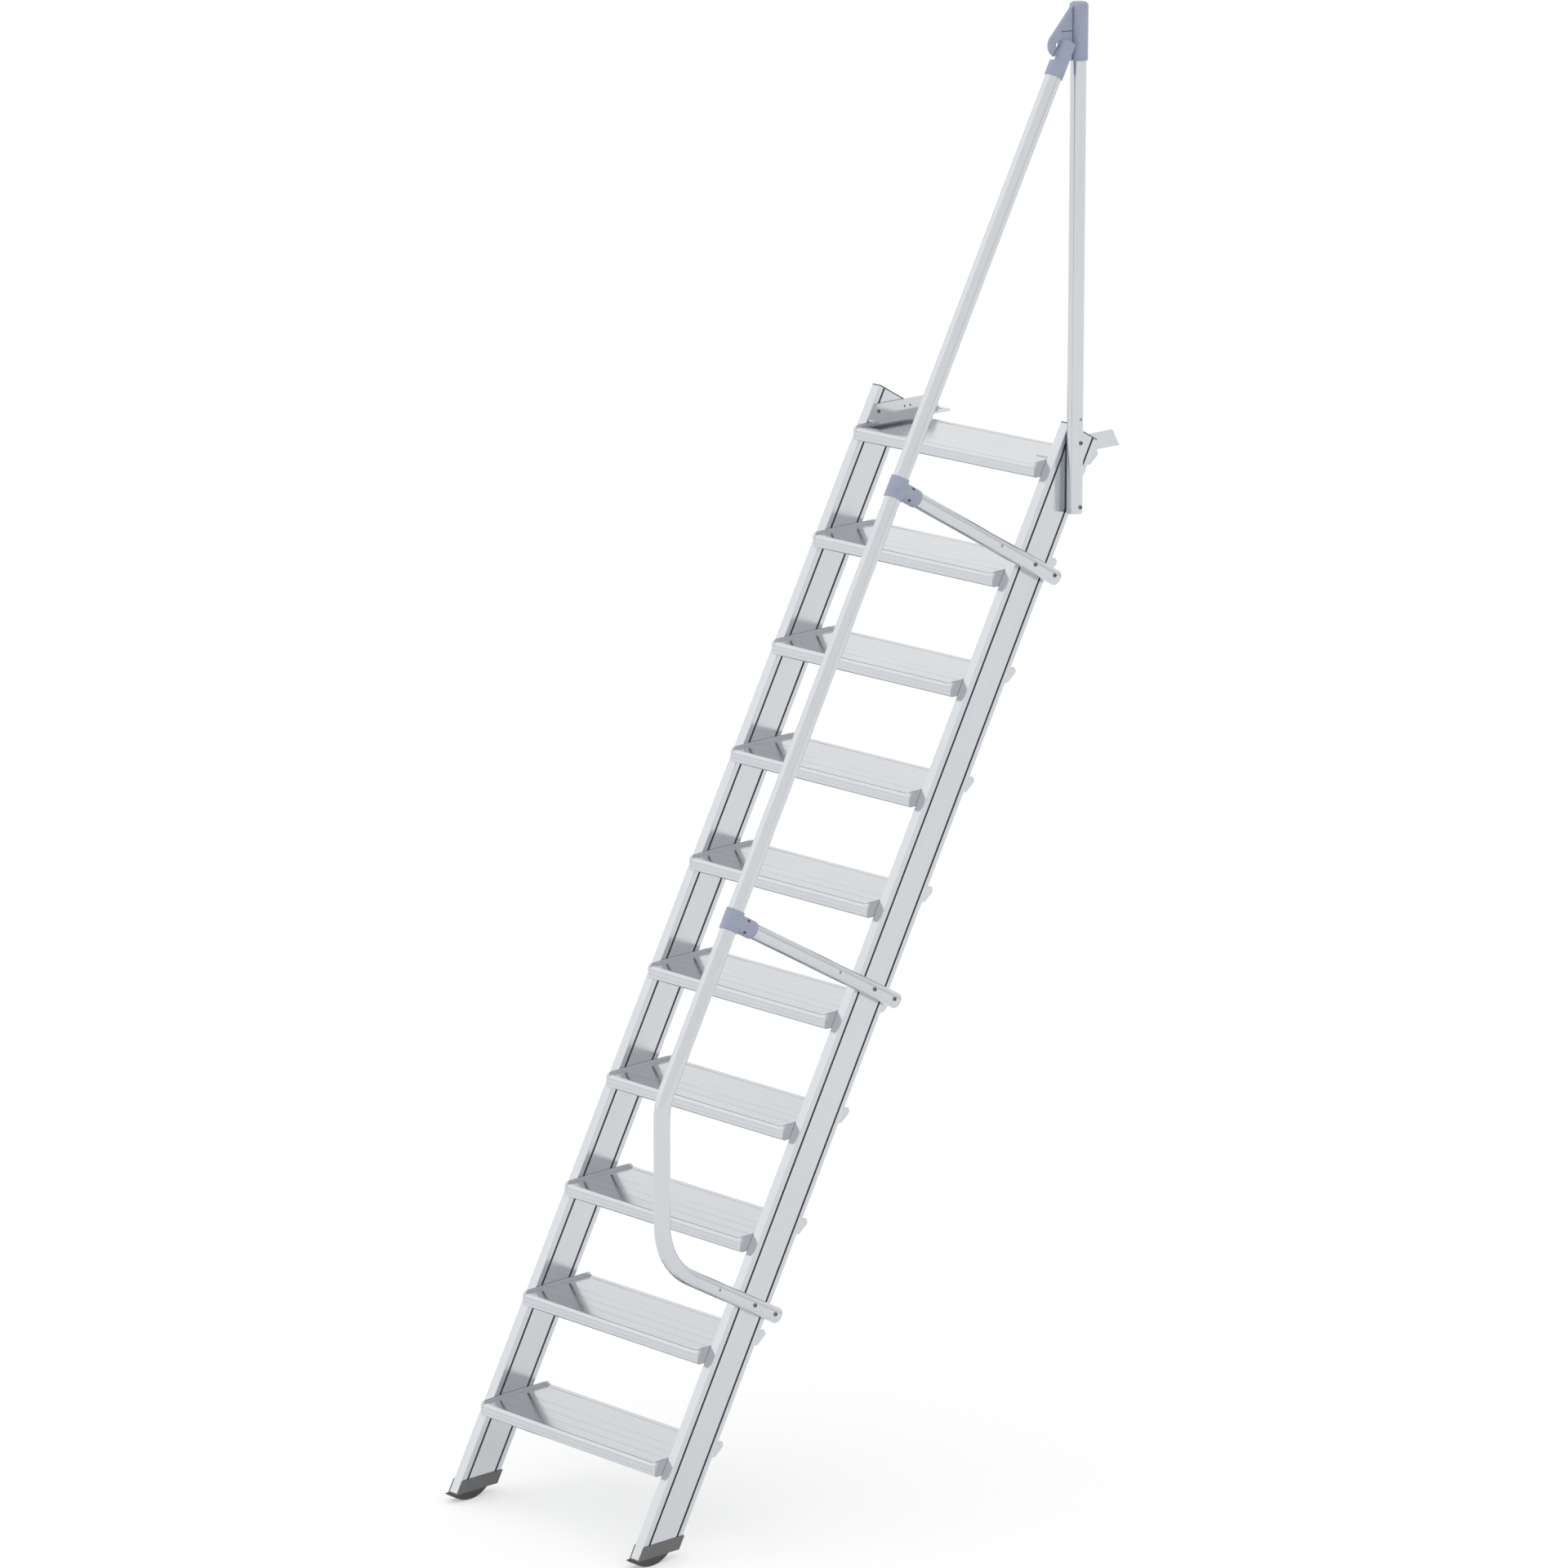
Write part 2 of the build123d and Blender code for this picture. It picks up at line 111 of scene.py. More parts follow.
# Dark lines painted as shadow on the cast head's web's outer side, where the sleeve meets the web and along
# the knuckle's tongue, as depths and heights.
WEB_FACE = 352.0
HEAD_SHADOW_LINES = (((1228.5, 3224.0), (1228.5, 3104.0)), ((1192.0, 3172.0), (1229.0, 3170.0)),
              ((1184.0, 3149.0), (1206.0, 3150.0)), ((1184.0, 3142.0), (1163.0, 3117.0)))
# Width and height of the painted shadow lines.
SHADOW_LINE_WIDTH = 2.2
SHADOW_LINE_HEIGHT = 0.8
# Height of the floor, in metres.
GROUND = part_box("pad_left")[0].z
# Camera: place and farthest reach in metres, tilt and turn in degrees, width of the sensor in millimetres.
# The key light comes from one side, with a spread in degrees. In reflections the surroundings are dimmer
# toward another side, from where the cosine to it reaches the first value, in full at the second.
CAMERA_PLACE = (12.8967, -12.6475, 3.6040)
CAMERA_TILT = 14.0565
CAMERA_TURN = 46.672
CAMERA_SENSOR = 36.0
CAMERA_REACH = 400.0
KEY_FROM = (-0.70, -0.56, 0.44)
KEY_SPREAD = 70
KEY_COLOUR = (0.97, 1.0, 1.0)
DIM_TOWARD = (0.71, 0.67, 0.24)
DIM_STARTS = 0.75
DIM_FULL = 0.97

TREADS = [f"tread_{number:02d}" for number in range(1, 11)]


def stair_point(x, y, z):
    """A point of the stair in millimetres, as a place in the frame in metres."""
    return STAIR_ZERO + Vector((x, y, z)) * MM


def raked_point(x, along, square):
    """A point measured along the stile's front line and square to it."""
    return STAIR_ZERO + Vector((x * MM, 0, 0)) + UP_RAKE * along * MM + SQUARE_TO_RAKE * square * MM


# Sizes and colours


class StairFinish(bpy.types.PropertyGroup):
    """Colours and surface values of the stair's materials"""

    aluminium: bpy.props.FloatVectorProperty(
        name="Aluminium", description="Colour of the satin aluminium", subtype="COLOR", size=3,
        min=0.0, max=1.0, default=(0.612, 0.632, 0.655))
    aluminium_roughness: bpy.props.FloatProperty(
        name="Aluminium roughness", description="How far the aluminium blurs what it reflects",
        subtype="FACTOR", min=0.05, max=1.0, default=0.15)
    # Strength of the shade painted into the stiles' grooves.
    painted_groove_shade: bpy.props.FloatProperty(
        name="Painted groove shade", description="How much darker the stiles' grooves are", subtype="FACTOR",
        min=0.0, max=1.0, default=0.28)
    connector: bpy.props.FloatVectorProperty(
        name="Connector", description="Colour of the cast clamps and the post's head", subtype="COLOR",
        size=3, min=0.0, max=1.0, default=(0.42, 0.465, 0.6))
    # Brightness of the painted shadow lines on the post's head, against the casting's colour.
    shadow_line_shade: bpy.props.FloatProperty(
        name="Shadow line shade", description="Brightness of the casting's lines against its own colour",
        subtype="FACTOR", min=0.0, max=1.0, default=0.35)
    shoe: bpy.props.FloatVectorProperty(
        name="Shoe", description="Colour of the moulded shoes", subtype="COLOR", size=3,
        min=0.0, max=1.0, default=(0.185, 0.185, 0.19))
    pad: bpy.props.FloatVectorProperty(
        name="Pad", description="Colour of the rubber pads", subtype="COLOR", size=3,
        min=0.0, max=1.0, default=(0.085, 0.085, 0.087))
    cap: bpy.props.FloatVectorProperty(
        name="Cap", description="Colour of the caps on the stiles' tops", subtype="COLOR", size=3,
        min=0.0, max=1.0, default=(0.16, 0.16, 0.165))
    rivet: bpy.props.FloatVectorProperty(
        name="Rivet", description="Colour of the rivets", subtype="COLOR", size=3,
        min=0.0, max=1.0, default=(0.36, 0.37, 0.39))
    bolt: bpy.props.FloatVectorProperty(
        name="Bolt", description="Colour of the dark bolts", subtype="COLOR", size=3,
        min=0.0, max=1.0, default=(0.2, 0.2, 0.21))


class StairFasteners(bpy.types.PropertyGroup):
    """Sizes of the bolts, screws, nuts and rivets, in metres"""

    bolt_head: bpy.props.FloatProperty(
        name="Bolt head", description="Diameter of a bolt's head", unit="LENGTH", default=0.0105, min=0.004)
    bolt_height: bpy.props.FloatProperty(
        name="Bolt height", description="Height of a bolt's head", unit="LENGTH", default=0.004, min=0.001)
    screw_head: bpy.props.FloatProperty(
        name="Screw head", description="Diameter of a clamp's or bracket's screw head", unit="LENGTH",
        default=0.0075, min=0.003)
    nut_width: bpy.props.FloatProperty(
        name="Nut", description="Width of a nut across its corners", unit="LENGTH", default=0.016, min=0.005)
    rivet_head: bpy.props.FloatProperty(
        name="Rivet head", description="Diameter of a rivet's head", unit="LENGTH", default=0.008, min=0.003)


class StairStage(bpy.types.PropertyGroup):
    """Floor, light and camera"""

    floor_size: bpy.props.FloatProperty(
        name="Floor", description="Side of the square floor", unit="LENGTH", default=160.0, min=10.0)
    floor_colour: bpy.props.FloatVectorProperty(
        name="Floor colour", description="Colour of the floor", subtype="COLOR", size=3,
        min=0.0, max=1.0, default=(0.9, 0.9, 0.9))
    floor_lift: bpy.props.FloatProperty(
        name="Floor lift", description="Light that the floor adds for the camera and in reflections",
        default=0.37, min=0.0)
    world_level: bpy.props.FloatProperty(
        name="Surrounding light", description="Strength of the light from all around", default=0.72, min=0.0)
    dim_side: bpy.props.FloatProperty(
        name="Dim side", description="How much darker the right back of the surroundings is in reflections",
        subtype="FACTOR", min=0.0, max=1.0, default=0.22)
    key_level: bpy.props.FloatProperty(
        name="Key light", description="Strength of the soft light from the front left", default=0.2, min=0.0)
    lens: bpy.props.FloatProperty(
        name="Lens", description="Focal length of the camera", unit="CAMERA", default=176.384, min=20.0)


# Shader groups


def add(tree, kind, **settings):
    """A new node in a tree, with its settings."""
    node = tree.nodes.new(kind)
    for key, value in settings.items():
        setattr(node, key, value)
    return node


def new_group(name, inputs):
    """A node group with a vector, a colour and number inputs, that gives colour, roughness and height."""
    tree = bpy.data.node_groups.new(name, "ShaderNodeTree")
    tree.interface.new_socket("Vector", in_out="INPUT", socket_type="NodeSocketVector")
    tree.interface.new_socket("Colour", in_out="INPUT", socket_type="NodeSocketColor")
    for label, value in inputs.items():
        socket = tree.interface.new_socket(label, in_out="INPUT", socket_type="NodeSocketFloat")
        socket.default_value = value
    tree.interface.new_socket("Colour", in_out="OUTPUT", socket_type="NodeSocketColor")
    tree.interface.new_socket("Roughness", in_out="OUTPUT", socket_type="NodeSocketFloat")
    tree.interface.new_socket("Height", in_out="OUTPUT", socket_type="NodeSocketFloat")
    return tree, add(tree, "NodeGroupInput"), add(tree, "NodeGroupOutput")


def noise(tree, source, stretch, detail, roughness=0.5):
    """Noise over a stretched position; the stretch is a number of features per metre on each axis."""
    scaled = add(tree, "ShaderNodeVectorMath", operation="MULTIPLY")
    scaled.inputs[1].default_value = stretch
    tree.links.new(source, scaled.inputs[0])
    texture = add(tree, "ShaderNodeTexNoise")
    texture.inputs["Scale"].default_value = 1.0
    texture.inputs["Detail"].default_value = detail
    texture.inputs["Roughness"].default_value = roughness
    tree.links.new(scaled.outputs[0], texture.inputs["Vector"])
    return texture.outputs["Fac"]


def math(tree, operation, a, b):
    """One sum of two sockets or numbers."""
    node = add(tree, "ShaderNodeMath", operation=operation)
    for socket, value in zip(node.inputs, (a, b)):
        if isinstance(value, (int, float)):
            socket.default_value = value
        else:
            tree.links.new(value, socket)
    return node.outputs[0]


def spread(tree, value, low, high, out_low, out_high):
    """A value stretched from one range to another, and kept inside it."""
    node = add(tree, "ShaderNodeMapRange", clamp=True)
    for socket, number in zip(list(node.inputs)[1:5], (low, high, out_low, out_high)):
        socket.default_value = number
    tree.links.new(value, node.inputs[0])
    return node.outputs[0]


def tinted(tree, colour, value):
    """A colour made lighter or darker by a value around one."""
    grey = add(tree, "ShaderNodeCombineColor")
    for socket in grey.inputs:
        tree.links.new(value, socket)
    mix = add(tree, "ShaderNodeMix", data_type="RGBA", blend_type="MULTIPLY", clamp_result=False)
    mix.inputs["Factor"].default_value = 1.0
    tree.links.new(colour, mix.inputs["A"])
    tree.links.new(grey.outputs[0], mix.inputs["B"])
    return mix.outputs["Result"]


def drawn_grain():
    """Fine lines along Z, as a die leaves them, with soft clouds and rubbed places."""
    tree, given, result = new_group("Drawn grain", {"Roughness": 0.13, "Line": 1.0, "Cloud": 1.0})
    vector = given.outputs["Vector"]
    lines = noise(tree, vector, stretch=(700.0, 700.0, 2.5), detail=3.0)
    fine = noise(tree, vector, stretch=(2600.0, 2600.0, 14.0), detail=2.0)
    clouds = noise(tree, vector, stretch=(5.0, 5.0, 2.0), detail=2.0)
    rubbed = noise(tree, vector, stretch=(26.0, 26.0, 9.0), detail=5.0, roughness=0.6)
    line_tint = math(tree, "MULTIPLY", spread(tree, lines, 0.3, 0.7, -0.03, 0.03), given.outputs["Line"])
    cloud_tint = math(tree, "MULTIPLY", spread(tree, clouds, 0.3, 0.7, -0.02, 0.02), given.outputs["Cloud"])
    tint = math(tree, "ADD", math(tree, "ADD", line_tint, cloud_tint), 1.0)
    tree.links.new(tinted(tree, given.outputs["Colour"], tint), result.inputs["Colour"])
    rubbing = spread(tree, rubbed, 0.35, 0.7, -0.02, 0.05)
    rough = math(tree, "ADD", rubbing, spread(tree, fine, 0.3, 0.7, -0.02, 0.02))
    tree.links.new(math(tree, "ADD", rough, given.outputs["Roughness"]), result.inputs["Roughness"])
    height = math(tree, "ADD", math(tree, "MULTIPLY", lines, 0.7), math(tree, "MULTIPLY", fine, 0.3))
    tree.links.new(height, result.inputs["Height"])
    return tree


def moulded_skin():
    """An even fine skin, as on a casting under powder coat or a moulding, with faint mottling."""
    tree, given, result = new_group("Moulded skin", {"Roughness": 0.5, "Mottle": 1.0})
    vector = given.outputs["Vector"]
    skin = noise(tree, vector, stretch=(900.0, 900.0, 900.0), detail=3.0)
    mottle = noise(tree, vector, stretch=(45.0, 45.0, 45.0), detail=4.0, roughness=0.6)
    tint = math(tree, "MULTIPLY", spread(tree, mottle, 0.3, 0.7, -0.07, 0.07), given.outputs["Mottle"])
    speck = spread(tree, skin, 0.35, 0.65, -0.03, 0.03)
    tint = math(tree, "ADD", math(tree, "ADD", tint, speck), 1.0)
    tree.links.new(tinted(tree, given.outputs["Colour"], tint), result.inputs["Colour"])
    rough = math(tree, "ADD", spread(tree, mottle, 0.3, 0.75, -0.05, 0.09), given.outputs["Roughness"])
    tree.links.new(rough, result.inputs["Roughness"])
    tree.links.new(skin, result.inputs["Height"])
    return tree


def finished(name, group, colour, roughness, metallic, turn=(0.0, 0.0, 0.0), bump=0.000004, extra=None):
    """A material fed by a shader group, its pattern turned to the piece and its bump in metres."""
    material = bpy.data.materials.new(name)
    material.use_nodes = True
    tree = material.node_tree
    shader = tree.nodes["Principled BSDF"]
    coordinates = add(tree, "ShaderNodeTexCoord")
    mapping = add(tree, "ShaderNodeMapping", vector_type="TEXTURE")
    mapping.inputs["Rotation"].default_value = turn
    surface = add(tree, "ShaderNodeGroup", node_tree=group)
    surface.inputs["Colour"].default_value = (*colour, 1.0)
    surface.inputs["Roughness"].default_value = roughness
    for label, value in (extra or {}).items():
        surface.inputs[label].default_value = value
    relief = add(tree, "ShaderNodeBump")
    relief.inputs["Strength"].default_value = 1.0
    relief.inputs["Distance"].default_value = bump
    tree.links.new(coordinates.outputs["Object"], mapping.inputs["Vector"])
    tree.links.new(mapping.outputs["Vector"], surface.inputs["Vector"])
    tree.links.new(surface.outputs["Colour"], shader.inputs["Base Color"])
    tree.links.new(surface.outputs["Roughness"], shader.inputs["Roughness"])
    tree.links.new(surface.outputs["Height"], relief.inputs["Height"])
    tree.links.new(relief.outputs["Normal"], shader.inputs["Normal"])
    shader.inputs["Metallic"].default_value = metallic
    return material


def small_part(name, colour, roughness, metallic=1.0, bump=0.00002):
    """The finish of a fastener or of a painted shadow line, from the skin group that the stair's finishes
    made.
    """
    return finished(name, bpy.data.node_groups["Moulded skin"], colour, roughness, metallic, bump=bump)


def painted_groove_shade():
    """One, and darker inside the grooves of the stiles' broad faces as painted shade, from a place in the
    frame.
    """
    tree = bpy.data.node_groups.new("Painted groove shade", "ShaderNodeTree")
    tree.interface.new_socket("Vector", in_out="INPUT", socket_type="NodeSocketVector")
    tree.interface.new_socket("Dark", in_out="INPUT", socket_type="NodeSocketFloat")
    tree.interface.new_socket("Shade", in_out="OUTPUT", socket_type="NodeSocketFloat")
    given = add(tree, "NodeGroupInput")
    result = add(tree, "NodeGroupOutput")
    across = add(tree, "ShaderNodeVectorMath", operation="DOT_PRODUCT")
    across.inputs[1].default_value = SQUARE_TO_RAKE
    tree.links.new(given.outputs["Vector"], across.inputs[0])
    parts = add(tree, "ShaderNodeSeparateXYZ")
    tree.links.new(given.outputs["Vector"], parts.inputs[0])
    zero = STAIR_ZERO.dot(SQUARE_TO_RAKE)
    in_groove = 0.0
    for middle in GROOVES:
        beside = math(tree, "SUBTRACT", across.outputs["Value"], zero + middle * MM)
        near = math(tree, "LESS_THAN", math(tree, "ABSOLUTE", beside, 0.0), GROOVE_HALF * MM)
        in_groove = math(tree, "MAXIMUM", near, in_groove)
    x = math(tree, "ABSOLUTE", math(tree, "SUBTRACT", parts.outputs["X"], STAIR_ZERO.x), 0.0)
    from_middle = math(tree, "ABSOLUTE", math(tree, "SUBTRACT", x, (INNER_FACE + OUTER_FACE) / 2 * MM), 0.0)
    deep = math(tree, "LESS_THAN", from_middle, ((OUTER_FACE - INNER_FACE) / 2 - GROOVE_MARGIN) * MM)
    # Shade painted into the recessed groove floors, as a darkening of the colour.
    painted_shade_mask = math(tree, "MULTIPLY", math(tree, "MULTIPLY", in_groove, deep), given.outputs["Dark"])
    tree.links.new(math(tree, "SUBTRACT", 1.0, painted_shade_mask), result.inputs["Shade"])
    return tree


def paint_groove_shade(material, dark):
    """Paints shade into a stile's material inside its grooves."""
    tree = material.node_tree
    shader = tree.nodes["Principled BSDF"]
    colour = shader.inputs["Base Color"].links[0].from_socket
    shade = add(tree, "ShaderNodeGroup", node_tree=painted_groove_shade())
    shade.inputs["Dark"].default_value = dark
    tree.links.new(add(tree, "ShaderNodeTexCoord").outputs["Object"], shade.inputs["Vector"])
    tree.links.new(tinted(tree, colour, shade.outputs["Shade"]), shader.inputs["Base Color"])


def dress(node, material):
    """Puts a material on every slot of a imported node."""
    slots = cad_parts[node].data.materials
    for number in range(len(slots)):
        slots[number] = material
    if not len(slots):
        slots.append(material)


# Mesh helpers


def facing(point, outward):
    """Placing matrix at a point, with local Z along a direction."""
    turn = Vector((0, 0, 1)).rotation_difference(Vector(outward))
    return Matrix.Translation(point) @ turn.to_matrix().to_4x4()


def finish_piece(name, mesh_data, material, crease=35):
    """Turns a bmesh into a named piece that rides on the stair, sharp where faces meet past the crease."""
    bmesh.ops.recalc_face_normals(mesh_data, faces=mesh_data.faces)
    mesh = bpy.data.meshes.new(name)
    mesh_data.to_mesh(mesh)
    mesh_data.free()
    mesh.shade_smooth()
    mesh.set_sharp_from_angle(angle=radians(crease))
    mesh.materials.append(material)
    piece = bpy.data.objects.new(name, mesh)
    bpy.context.scene.collection.objects.link(piece)
    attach(piece, "root")


def stamp(target, shape, place=Matrix.Identity(4)):
    """Adds a copy of a shape to another bmesh, at a placing matrix."""
    mesh = bpy.data.meshes.new("stamp")
    shape.to_mesh(mesh)
    mesh.transform(place)
    target.from_mesh(mesh)
    bpy.data.meshes.remove(mesh)


def extruded(outline, way):
    """A closed shape made from a flat outline of points that is pushed along a vector."""
    work = bmesh.new()
    face = work.faces.new([work.verts.new(point) for point in outline])
    for item in bmesh.ops.extrude_face_region(work, geom=[face])["geom"]:
        if isinstance(item, bmesh.types.BMVert):
            item.co += way
    bmesh.ops.recalc_face_normals(work, faces=work.faces)
    return work


def grow_ring(work, edges, radius, height, rounded=True):
    """Extrudes a loop of edges to a new radius and height, and gives the new loop."""
    new = bmesh.ops.extrude_edge_only(work, edges=edges)["geom"]
    verts = [item for item in new if isinstance(item, bmesh.types.BMVert)]
    for vert in verts:
        flat = Vector((vert.co.x, vert.co.y))
        if rounded:
            flat = flat.normalized() * radius
        vert.co = (flat.x, flat.y, height)
    fresh = set(verts)
    return [item for item in new if isinstance(item, bmesh.types.BMEdge) and set(item.verts) <= fresh]


def socket_bolt(head, height):
    """A bolt's domed head with a six-sided recess, standing on Z = 0."""
    work = bmesh.new()
    # The recess: radius as a share of the head, floor as a share of the height.
    recess = head * 0.26
    bmesh.ops.create_circle(work, segments=6, radius=recess, cap_ends=False)
    bmesh.ops.subdivide_edges(work, edges=list(work.edges), cuts=3)
    rim = list(work.edges)
    for vert in work.verts:
        vert.co.z = height
    floor = grow_ring(work, rim, recess, height * 0.4, rounded=False)
    bmesh.ops.contextual_create(work, geom=floor)
    # The dome and its foot: radius as a share of the head, level as a share of the height.
    profile = ((0.34, 1.0), (0.42, 0.86), (0.475, 0.62), (0.5, 0.34), (0.5, -0.25))
    loop = rim
    for share, level in profile:
        loop = grow_ring(work, loop, head * share, height * level)
    return work


def nut(width):
    """A six-sided nut with a bevelled top, a bolt's end and a washer, standing on Z = 0."""
    work = bmesh.new()
    # Sides, then radius, foot, top and bevelled edge as shares of the width.
    washer = (40, 0.72, 0.0, 0.1, 0.03)
    body = (6, 0.5, 0.1, 0.5, 0.05)
    bolt_end = (24, 0.27, 0.5, 0.62, 0.05)
    for sides, *shares in (washer, body, bolt_end):
        radius, foot, top, edge = [width * share for share in shares]
        bmesh.ops.create_circle(work, segments=sides, radius=radius - edge, cap_ends=True,
                                matrix=Matrix.Translation((0, 0, top)))
        loop = [side for side in work.edges if side.is_boundary and abs(side.verts[0].co.z - top) < 1e-7]
        loop = grow_ring(work, loop, radius, top - edge)
        grow_ring(work, loop, radius, foot)
    return work


def deck():
    """The finely grooved top of one tread, as a thin sheet from the tread's place."""
    half = DECK_GROOVE_WIDTH / 2
    floor = DECK_LEVEL - DECK_GROOVE_DEPTH
    section = [(DECK_FRONT, DECK_FOOT), (DECK_FRONT, DECK_LEVEL)]
    for y in DECK_GROOVES:
        section += [(y - half, DECK_LEVEL), (y - half / 2, floor)]
        section += [(y + half / 2, floor), (y + half, DECK_LEVEL)]
    section += [(DECK_BACK, DECK_LEVEL), (DECK_BACK, DECK_FOOT)]
    outline = [Vector((-DECK_SIDE, y, z)) * MM for y, z in section]
    return extruded(outline, Vector((2 * DECK_SIDE * MM, 0, 0)))


def flange():
    """One rim plate of a tread's end, its outline in depth and height from the tread's place."""
    outline = [Vector((0.0, y, z)) * MM for y, z in FLANGE_OUTLINE]
    work = extruded(outline, Vector((FLANGE_THICKNESS * MM, 0, 0)))
    bmesh.ops.bevel(work, geom=list(work.edges), offset=FLANGE_ROUND * MM, segments=2, affect="EDGES",
                    clamp_overlap=True)
    return work


def painted_shadow_line(start, end):
    """A narrow rounded dark line on the head's web that paints shadow, between two places given as depth and
    height.
    """
    low = stair_point(WEB_FACE, *start)
    high = stair_point(WEB_FACE, *end)
    along = (high - low).normalized()
    beside = along.cross(Vector((1, 0, 0))) * SHADOW_LINE_WIDTH / 2 * MM
    rise = Vector((SHADOW_LINE_HEIGHT * MM, 0, 0))
    # Foot in the casting, flank and top, each as shares of the height and of half the width.
    profile = ((-1.0, -1.0), (0.5, -1.0), (1.0, -0.4), (1.0, 0.4), (0.5, 1.0), (-1.0, 1.0))
    return extruded([low + rise * up + beside * out for up, out in profile], high - low)


def rivet(head):
    """A rivet's low domed head with the dimple that its mandrel leaves, standing on Z = 0."""
    work = bmesh.new()
    bmesh.ops.create_circle(work, segments=20, radius=head * 0.16, cap_ends=False)
    rim = list(work.edges)
    for vert in work.verts:
        vert.co.z = head * 0.16
    floor = grow_ring(work, rim, head * 0.13, head * 0.05)
    bmesh.ops.contextual_create(work, geom=floor)
    # The dome and its foot: radius and level as shares of the head.
    profile = ((0.3, 0.15), (0.42, 0.1), (0.5, 0.02), (0.5, -0.15))
    loop = rim
    for share, level in profile:
        loop = grow_ring(work, loop, head * share, head * level)
    return work


def bolt_places(x):
    """Places of the bolts that join the tubes to the right stile, at a distance across the stair."""
    places = [stair_point(x, POST_DEPTH, height) for height in POST_BOLTS]
    for along in (RAIL_FOOT, *STRUTS):
        places += [raked_point(x, along, square) for square in STILE_BOLTS]
    return places


def on_treads(x):
    """Placing matrices of the ten treads, at a distance across the stair."""
    places = [stair_point(x, number * GOING, number * RISE) for number in range(len(TREADS))]
    return [Matrix.Translation(place) for place in places]


def repeated(single, places):
    """One bmesh with a copy of a shape at every placing matrix; the shape itself is used up."""
    bmesh.ops.recalc_face_normals(single, faces=single.faces)
    together = bmesh.new()
    for place in places:
        stamp(together, single, place)
    single.free()
    return together


# Operators


class STAIR_OT_finishes(bpy.types.Operator):
    """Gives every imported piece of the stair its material"""

    bl_idname = "stair.finishes"
    bl_label = "Finish the stair"

    def execute(self, context):
        look = context.scene.stair_finish
        grain = drawn_grain()
        skin = moulded_skin()
        along_rake = (RAKE - pi / 2, 0.0, 0.0)
        square = (RAKE, 0.0, 0.0)
        across = (0.0, pi / 2, 0.0)
        colour = look.aluminium
        rough = look.aluminium_roughness
        stile = finished("Extruded aluminium", grain, colour, rough, 1.0, along_rake)
        tread = finished("Ribbed aluminium", grain, colour, rough, 1.0, across, extra={"Line": 0.5})
        bracket = finished("Angle aluminium", grain, colour, rough, 1.0, (pi / 2, 0.0, 0.0))
        rail = finished("Drawn rail tube", grain, colour, rough, 1.0, along_rake, extra={"Line": 0.6})
        strut = finished("Drawn strut tube", grain, colour, rough, 1.0, square, extra={"Line": 0.6})
        post = finished("Drawn post tube", grain, colour, rough, 1.0, extra={"Line": 0.6})
        casting = finished("Coated casting", skin, look.connector, roughness=0.46, metallic=0.0, bump=0.00012)
        shoe = finished("Moulded shoe", skin, look.shoe, roughness=0.55, metallic=0.0, bump=0.0001)
        pad = finished("Rubber pad", skin, look.pad, roughness=0.72, metallic=0.0, bump=0.00018,
                       extra={"Mottle": 1.5})
        cap = finished("Moulded cap", skin, look.cap, roughness=0.5, metallic=0.0, bump=0.00008)
        # Paints shade into the stiles' grooves.
        paint_groove_shade(stile, look.painted_groove_shade)
        for node in TREADS:
            dress(node, tread)
        for side in ("left", "right"):
            dress(f"stile_{side}", stile)
            dress(f"landing_bracket_{side}", bracket)
            dress(f"stile_cap_{side}", cap)
            dress(f"shoe_{side}", shoe)
            dress(f"pad_{side}", pad)
        for level in ("lower", "upper"):
            dress(f"strut_{level}", strut)
            dress(f"strut_plug_{level}", strut)
            dress(f"rail_clamp_{level}", casting)
        dress("handrail", rail)
        dress("rail_plug", strut)
        dress("rail_post", post)
        dress("post_plug", post)
        dress("post_head", casting)
        dress("rail_knuckle", casting)
        return {"FINISHED"}


class STAIR_OT_tube_bolts(bpy.types.Operator):
    """Bolts that hold the post, the struts and the rail's foot to the right stile"""

    bl_idname = "stair.tube_bolts"
    bl_label = "Tube bolts"

    def execute(self, context):
        sizes = context.scene.stair_fasteners
        plated = small_part("Dark plated steel", context.scene.stair_finish.bolt, roughness=0.35)
        places = bolt_places(TUBE_FACE - BOLT_SINK)
        single = socket_bolt(sizes.bolt_head, sizes.bolt_height)
        work = repeated(single, [facing(place, (1, 0, 0)) for place in places])
        finish_piece("tube_bolts", work, plated)
        return {"FINISHED"}


class STAIR_OT_tube_rivets(bpy.types.Operator):
    """Rivets on the outer side of the tubes"""

    bl_idname = "stair.tube_rivets"
    bl_label = "Tube rivets"

    def execute(self, context):
        sizes = context.scene.stair_fasteners
        bright = small_part("Bright rivet", context.scene.stair_finish.rivet, roughness=0.4)
        face = TUBE_FACE - RIVET_SINK
        places = [stair_point(face, POST_DEPTH, POST_RIVET)]
        places += [raked_point(face, along, TUBE_RIVET) for along in (RAIL_FOOT, *STRUTS)]
        work = repeated(rivet(sizes.rivet_head), [facing(place, (1, 0, 0)) for place in places])
        finish_piece("tube_rivets", work, bright)
        return {"FINISHED"}


class STAIR_OT_stile_nuts(bpy.types.Operator):
    """Nuts and washers on the right stile's inner face, behind the tubes' bolts"""

    bl_idname = "stair.stile_nuts"
    bl_label = "Stile nuts"

    def execute(self, context):
        sizes = context.scene.stair_fasteners
        zinc = small_part("Zinc plated steel", context.scene.stair_finish.rivet, roughness=0.3)
        places = [facing(place, (-1, 0, 0)) for place in bolt_places(INNER_FACE)]
        work = repeated(nut(sizes.nut_width), places)
        finish_piece("stile_nuts", work, zinc)
        return {"FINISHED"}


